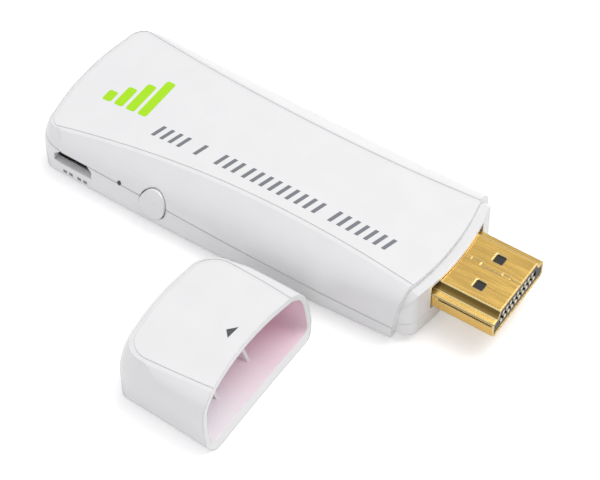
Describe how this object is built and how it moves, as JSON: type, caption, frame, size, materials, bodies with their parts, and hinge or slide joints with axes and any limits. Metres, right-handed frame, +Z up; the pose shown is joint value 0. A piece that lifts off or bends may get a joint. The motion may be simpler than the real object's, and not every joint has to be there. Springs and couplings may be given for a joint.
{
  "type": "hdmi stick computer",
  "caption": "White stick computer with a gold video plug, side charging port and button, its plug cap lying beside it.",
  "frame": {"origin": "on the flat underside, on the centre line, near the middle of the casing", "axes": "+X along the stick towards the plug, -Y the side with the charging port and the button, +Z up"},
  "size_m": [0.0774, 0.0573, 0.0108],
  "materials": {
    "white_plastic": "glossy white",
    "cap_plastic": "glossy white",
    "button_plastic": "glossy white",
    "gold_plating": "polished gold plating",
    "contact_gold": "gold plating",
    "black_plastic": "satin black",
    "socket_steel": "tinned steel",
    "board_green": "solder mask",
    "chip_black": "moulded epoxy",
    "can_metal": "tinned sheet",
    "aluminium": "rolled",
    "pad_grey": "soft silicone",
    "clear_plastic": "clear moulded",
    "lamp_white": "lens",
    "ceramic_tan": "ceramic",
    "ceramic_white": "ceramic",
    "resistor_black": "ceramic with a glazed film",
    "print_green": "pad print",
    "print_grey": "pad print"
  },
  "bodies": {
    "stick": {"top_shell": "white_plastic", "bottom_shell": "white_plastic", "switch_body": "black_plastic", "switch_frame": "socket_steel", "status_lamp": "lamp_white", "light_guide": "clear_plastic", "circuit_board": "board_green", "hdmi_shell": "gold_plating", "hdmi_insulator": "black_plastic", "hdmi_contacts": "contact_gold", "usb_shell": "socket_steel", "usb_tongue": "black_plastic", "usb_contacts": "contact_gold", "card_socket_shell": "socket_steel", "card_socket_base": "black_plastic", "card_contacts": "contact_gold", "processor": "chip_black", "thermal_pad": "pad_grey", "heat_spreader": "aluminium", "memory_chips": "chip_black", "flash_chip": "chip_black", "wireless_board": "board_green", "wireless_can": "can_metal", "antenna": "ceramic_white", "power_chip": "chip_black", "power_coils": "chip_black", "crystal": "can_metal", "capacitors": "ceramic_tan", "resistors": "resistor_black"},
    "cap": {"cap": "cap_plastic"},
    "button": {"power_button": "button_plastic", "switch_plunger": "black_plastic"}
  },
  "joints": [
    {"name": "cap_pull", "type": "slide", "parent": "stick", "child": "cap", "axis": [-1, 0, 0], "range_m": [0, 0.0121]},
    {"name": "button_press", "type": "slide", "parent": "stick", "child": "button", "axis": [0, 1, 0], "range_m": [0, 0.00035], "stiffness_N_per_m": 1500}
  ]
}
